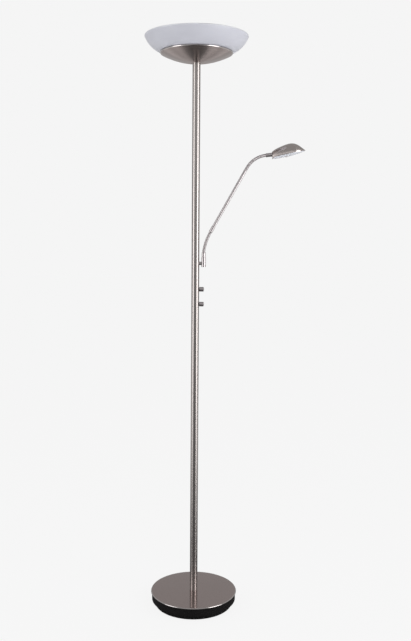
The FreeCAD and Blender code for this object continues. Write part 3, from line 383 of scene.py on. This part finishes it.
FINISH = {
    "cover": ("base_cover",),
    "dish": ("dish",),
    "tube": ("pole_lower", "pole_middle", "pole_upper"),
    "small": ("arm_stub", "arm_socket", "lower_ferrule", "tube_ferrule", "arm_tube", "neck_ferrule",
              "uplight_knob", "reading_knob", "lens_nut", "lower_gooseneck", "upper_gooseneck"),
    "head": ("head_shell",),
    "zinc": ("base_stud", "base_washer", "base_nut", "pole_foot_plug", "pole_couplers", "pole_top_plug",
             "dimmer_nuts", "dish_nipple", "dish_washer", "dish_nut", "pan_pillars", "pan_screws",
             "lamp_bracket", "guard_clips", "stub_nut", "uplight_shaft", "reading_shaft", "socket_screw",
             "tube_joint", "neck_nut", "holder_bracket", "lens_bridge"),
    "aluminium": ("lamp_reflector", "head_reflector"),
    "black": ("base_tray", "uplight_dimmer", "reading_dimmer"),
    "rubber": ("base_feet", "cord_bush", "supply_lead"),
    "silicone": ("glass_gasket", "lamp_wires"),
    "enamel": ("lamp_pan",),
    "ceramic": ("lamp_holders", "halogen_caps", "capsule_holder"),
    "cement": ("base_weight",),
    "opal": ("glass_bowl",),
    "lens": ("head_lens",),
    "clear": ("halogen_lamp", "guard_glass", "capsule_lamp"),
}


def dress():
    """Gives every CAD node its finish."""
    for finish, names in FINISH.items():
        for name in names:
            piece = frame["nodes"][name]
            if not piece.material_slots:
                piece.data.materials.append(None)
            for slot in piece.material_slots:
                slot.material = MATERIALS[finish]


# ---- meshes ----
def add_mesh(name, verts, faces, material):
    mesh = bpy.data.meshes.new(name)
    mesh.from_pydata(verts, [], faces)
    mesh.validate()
    mesh.materials.append(material)
    for polygon in mesh.polygons:
        polygon.use_smooth = True
    made = bpy.data.objects.new(name, mesh)
    scene.collection.objects.link(made)
    return made


def ring_angles(sides):
    return [2 * math.pi * k / sides for k in range(sides)]


def ring_faces(rings, sides):
    """Faces between each ring of points and the next, and between the last and the first."""
    faces = []
    for i in range(rings):
        low, high = i * sides, (i + 1) % rings * sides
        for k in range(sides):
            after = (k + 1) % sides
            faces.append((low + k, low + after, high + after, high + k))
    return faces


# ---- base cover: a steel disc with a rounded, turned-down edge ----
SPUN_SIDES = 256
COVER_HOLE_R = 0.0053
COVER_EDGE_R = 0.0026   # outer round of the turned-down edge
COVER_T = 0.0012        # thickness of the steel
COVER_ARC_STEPS = 12
COVER_CREASE = 40       # degrees; sharper corners than this are shaded as edges


def spun(name, profile, material):
    """Solid of revolution round the lamp's axis of a closed profile of (radius, height) points."""
    angles = ring_angles(SPUN_SIDES)
    verts = [(radius * math.cos(angle), radius * math.sin(angle), z)
             for radius, z in profile
             for angle in angles]
    return add_mesh(name, verts, ring_faces(len(profile), SPUN_SIDES), material)


def round_edge(radius, top, bend):
    """Points of the quarter round from the flat top to the upright side."""
    points = []
    for k in range(COVER_ARC_STEPS + 1):
        angle = math.pi / 2 * k / COVER_ARC_STEPS
        points.append((radius - bend + bend * math.sin(angle), top - bend + bend * math.cos(angle)))
    return points


def base_cover():
    """Puts a disc with a fuller round in the place of the CAD cover."""
    low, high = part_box("base_cover")
    edge_r, lip, top = high[0], low[2], high[2]
    outside = [(COVER_HOLE_R, top), *round_edge(edge_r, top, COVER_EDGE_R), (edge_r, lip)]
    inner = round_edge(edge_r - COVER_T, top - COVER_T, COVER_EDGE_R - COVER_T)
    inside = [(edge_r - COVER_T, lip), *reversed(inner), (COVER_HOLE_R, top - COVER_T)]
    cover = spun("cover_disc", [*outside, *inside][::-1], MATERIALS["cover"])
    cover.modifiers.new("edges", "EDGE_SPLIT").split_angle = math.radians(COVER_CREASE)
    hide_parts("base_cover")
    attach(cover, "stand")


# ---- necks: ribbed hoses laid along the arm's curved centre line between the bodies at their ends, in metres ----
SOCKET_X = 0.0259       # the socket's axis
FLEX_START = 1.1470     # height at which the lower neck leaves its ferrule
NECK_STRAIGHT = 0.010   # straight run of a neck inside the ferrule at each end
NECK_PITCH = 0.002      # from rib to rib
NECK_VALLEY = 0.00045   # depth between two ribs
NECK_BORE = 0.0029      # radius of the bore
LOWER_NECK_R = 0.00465
UPPER_NECK_R = 0.0048
LOWER_BENDS = ((0.00661, 9.74), (0.05971, 19.52))   # each a length, and a turn in degrees
UPPER_BENDS = ((0.0726, 54.0),)
ARM_STRAIGHT = 0.2285   # from the last of the lower bends to the first of the upper
HEAD_STRAIGHT = 0.0195  # from the last of the upper bends into the head
ROUTE = ((NECK_STRAIGHT, 0.0), *LOWER_BENDS, (ARM_STRAIGHT, 0.0), *UPPER_BENDS, (HEAD_STRAIGHT, 0.0))
UPRIGHT = 90.0          # heading at the route's start, in degrees
RIB_SIDES = 56
# rib profile: share of the pitch, and of the depth from valley to crest
RIB = ((0.0, 0.0), (0.10, 0.35), (0.2, 0.85), (0.32, 1.0),
       (0.62, 1.0), (0.74, 0.85), (0.84, 0.35), (0.94, 0.0))


def arm_at(distance):
    """Point and heading along the arm's centre line, which starts inside the socket's ferrule."""
    x, z, heading = SOCKET_X, FLEX_START - NECK_STRAIGHT, UPRIGHT
    for length, turn in ROUTE:
        step = min(distance, length)
        after = heading - turn * step / length
        a, b = math.radians(heading), math.radians(after)
        if turn:
            radius = length / math.radians(turn)
            x += radius * (math.sin(a) - math.sin(b))
            z += radius * (math.cos(b) - math.cos(a))
        else:
            x += step * math.cos(a)
            z += step * math.sin(a)
        heading = after
        distance -= step
        if distance <= 0:
            break
    return Vector((x, 0.0, z)), math.radians(heading)


def hose(name, start, length, radius, node):
    """Ribbed hose along the arm's centre line, in the place of a CAD neck between two bodies."""
    ribs = round(length / NECK_PITCH)
    pitch = length / ribs
    rings = []
    for k in range(ribs):
        for share, crest in RIB:
            rings.append((start + (k + share) * pitch, radius - NECK_VALLEY * (1 - crest)))
    rings.append((start + length, radius - NECK_VALLEY))
    for k in range(ribs + 1):
        rings.append((start + length - k * length / ribs, NECK_BORE))
    side = Vector((0, 1, 0))
    verts = []
    for distance, r in rings:
        centre, heading = arm_at(distance)
        up = Vector((-math.sin(heading), 0.0, math.cos(heading)))
        for angle in ring_angles(RIB_SIDES):
            verts.append(centre + side * (r * math.cos(angle)) + up * (r * math.sin(angle)))
    piece = add_mesh(name, verts, ring_faces(len(rings), RIB_SIDES), MATERIALS["small"])
    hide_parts(node)
    low, _ = arm_at(start + NECK_STRAIGHT)
    high, _ = arm_at(start + length - NECK_STRAIGHT)
    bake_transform(piece)


def necks():
    """Both flexible necks. The upper one starts inside the arm tube's far end."""
    lower_length = sum(length for length, _ in LOWER_BENDS) + 2 * NECK_STRAIGHT
    upper_length = sum(length for length, _ in UPPER_BENDS) + 2 * NECK_STRAIGHT
    upper_start = lower_length - NECK_STRAIGHT + ARM_STRAIGHT - NECK_STRAIGHT
    hose("gooseneck_lower", 0.0, lower_length, LOWER_NECK_R, "lower_gooseneck")
    hose("gooseneck_upper", upper_start, upper_length, UPPER_NECK_R, "upper_gooseneck")


# ---- studio ----
ONE_FACE = [(0, 1, 2, 3)]


def camera():
    """The camera that took the photograph, as fitted to the rims and the pole."""
    data = bpy.data.cameras.new("camera")
    data.sensor_fit = "VERTICAL"
    data.sensor_height = SENSOR
    data.lens = FOCAL_PX / IMAGE_H * SENSOR
    made = bpy.data.objects.new("camera", data)
    scene.collection.objects.link(made)
    cy, sy = math.cos(CAMERA_YAW), math.sin(CAMERA_YAW)
    cp, sp = math.cos(CAMERA_PITCH), math.sin(CAMERA_PITCH)
    level = Vector((cy, sy, 0.0))
    look = Vector((-sy * cp, cy * cp, -sp))
    above = level.cross(look)
    right = level * math.cos(CAMERA_ROLL) + above * math.sin(CAMERA_ROLL)
    up = above * math.cos(CAMERA_ROLL) - level * math.sin(CAMERA_ROLL)
    turn = Matrix((right, up, -look)).transposed()
    made.matrix_world = Matrix.Translation(CAMERA_AT) @ turn.to_4x4()
    scene.camera = made


def world():
    """Plain background, which lights matt surfaces evenly."""
    made = bpy.data.worlds.new("studio")
    scene.world = made
    made.use_nodes = True
    nodes = Nodes(made.node_tree)
    background = nodes.tree.nodes["Background"]
    background.inputs["Color"].default_value = (1, 1, 1, 1)
    nodes.link(nodes.spread(nodes.shows_background(), AMBIENT, PALE), background.inputs["Strength"])


def floor():
    """Pale floor, mostly shown as the plain background, that keeps the lamp's shadow."""
    paint = Paint("floor", (PALE, PALE, PALE), 1.0)
    paint.set("Specular IOR Level", 0.0)
    glow = paint.node("ShaderNodeEmission")
    glow.inputs["Color"].default_value = (FLOOR_GLOW, FLOOR_GLOW, FLOOR_GLOW, 1)
    mix = paint.node("ShaderNodeMixShader")
    shown = paint.math("MULTIPLY", paint.shows_background(), FLOOR_SHOWN)
    paint.feed(mix.inputs, (shown, paint.shader.outputs[0], glow.outputs[0]))
    paint.surface(mix.outputs[0])
    far = FLOOR_HALF
    corners = [(-far, -far, 0), (far, -far, 0), (far, far, 0), (-far, far, 0)]
    plane = add_mesh("floor", corners, ONE_FACE, paint.material)


def softbox(name, azimuth, distance, height, width, tall, watts):
    """Area light that faces the pole. Azimuth is in degrees from the camera's side, positive to the right."""
    data = bpy.data.lights.new(name, "AREA")
    data.shape = "RECTANGLE"
    data.size = width
    data.size_y = tall
    data.energy = watts
    made = bpy.data.objects.new(name, data)
    scene.collection.objects.link(made)
    angle = math.radians(azimuth)
    made.location = (distance * math.sin(angle), -distance * math.cos(angle), height)
    aim = Vector((0, 0, height * AIM_SHARE)) - made.location
    made.rotation_euler = aim.to_track_quat("-Z", "Y").to_euler()


def card(name, corners, axis, near, far):
    """Graded card outside the picture, seen only in the metal. Its brightness is near where the axis is zero
    and far one metre from there, and grows with the square of the distance up to the background's."""
    material = new_material(name)
    nodes = Nodes(material.node_tree)
    along = nodes.axes()[axis]
    level = nodes.spread(nodes.math("MULTIPLY", along, along), near, far, clamp=False)
    glow = nodes.node("ShaderNodeEmission")
    nodes.link(nodes.math("MINIMUM", level, PALE), glow.inputs["Strength"])
    nodes.surface(glow.outputs[0])
    made = add_mesh(name, corners, ONE_FACE, material)
    made.visible_camera = False
    made.visible_diffuse = False
    made.visible_shadow = False
    made.visible_transmission = False


def upright_card(name, y, half, low, high, near, far):
    card(name, [(-half, y, low), (half, y, low), (half, y, high), (-half, y, high)], "Z", near, far)


def side_card(name, x, front, back, low, high, near, far):
    card(name, [(x, front, low), (x, back, low), (x, back, high), (x, front, high)], "Z", near, far)


def level_card(name, z, half, front, back, near, far):
    card(name, [(-half, front, z), (half, front, z), (half, back, z), (-half, back, z)], "X", near, far)


def studio():
    """Camera, background, floor, two softboxes and the cards that the metal mirrors."""
    camera()
    world()
    floor()
    softbox("softbox_left", azimuth=-62, distance=2.2, height=1.30, width=1.10, tall=2.1, watts=13.0)
    softbox("softbox_right", azimuth=60, distance=2.2, height=1.30, width=1.43, tall=2.1, watts=26.0)
    upright_card("card_behind_camera", y=-3.4, half=2.8, low=0.02, high=2.6, near=0.15, far=0.28)
    upright_card("card_behind_lamp", y=3.0, half=6.0, low=0.02, high=3.2, near=0.50, far=0.51)
    side_card("card_left", x=-3.2, front=-0.5, back=3.0, low=0.02, high=3.2, near=0.40, far=0.41)
    side_card("card_right", x=3.2, front=-0.5, back=3.0, low=0.02, high=3.2, near=0.40, far=0.41)
    level_card("card_on_floor", z=0.002, half=2.4, front=-3.3, back=2.4, near=0.07, far=0.37)
    level_card("card_overhead", z=2.9, half=2.6, front=-3.4, back=3.0, near=0.38, far=0.38)


dress()
base_cover()
necks()
studio()
